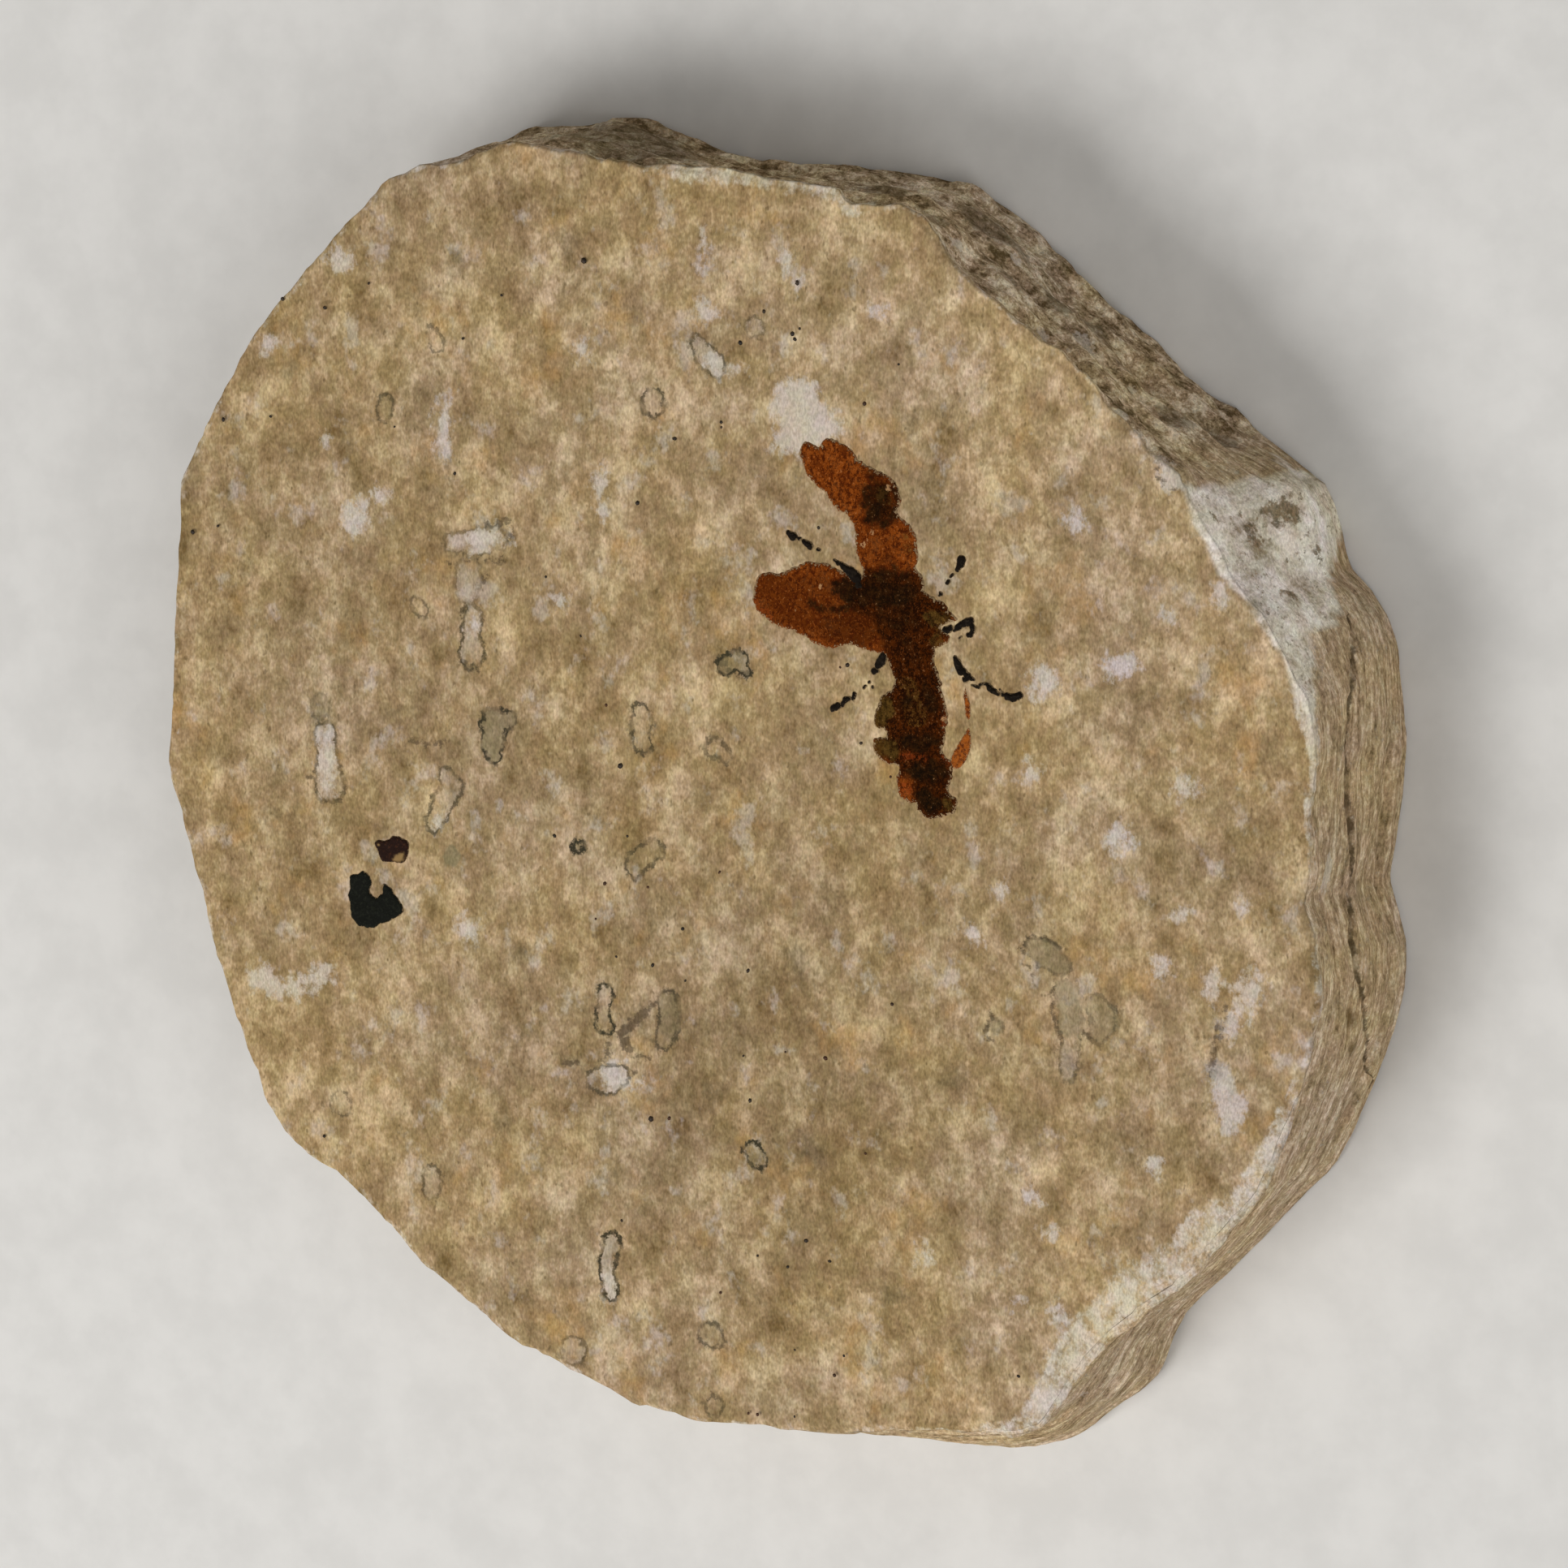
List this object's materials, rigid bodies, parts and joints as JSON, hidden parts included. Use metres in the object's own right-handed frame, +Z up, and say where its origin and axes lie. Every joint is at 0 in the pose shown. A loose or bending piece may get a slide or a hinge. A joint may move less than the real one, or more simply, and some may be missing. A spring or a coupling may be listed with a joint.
{
  "type": "fossil fly in a stone slab",
  "caption": "Palm-sized slab of tan laminated shale, with a dark compressed march fly, loose leg pieces and plant scraps on its flat face.",
  "frame": {"origin": "middle of the flat rear of the slab, on the surface that it lies on", "axes": "+Z up out of the fossil face, through the slab's thickness; +Y towards the slab's top edge as the fly is seen head up; +X to its right"},
  "size_m": [0.0503, 0.051, 0.0075],
  "materials": {
    "shale": "fine dry stone, matt",
    "fly_film": "dark brown mineral film, dull",
    "leg_film": "black carbon film, dull",
    "wing_film": "orange brown mineral film, dull",
    "plant_film": "black carbon film, dull",
    "brown_film": "dark brown carbon film, dull"
  },
  "bodies": {
    "root": {"matrix_slab": "shale", "fly_body_and_wings": "fly_film", "leg_fore_left": "leg_film", "leg_fore_right": "leg_film", "leg_mid_right": "leg_film", "leg_hind_right": "leg_film", "leg_hind_left": "leg_film", "wing_sliver": "wing_film", "plant_scrap": "plant_film", "brown_scrap": "brown_film"}
  },
  "joints": []
}
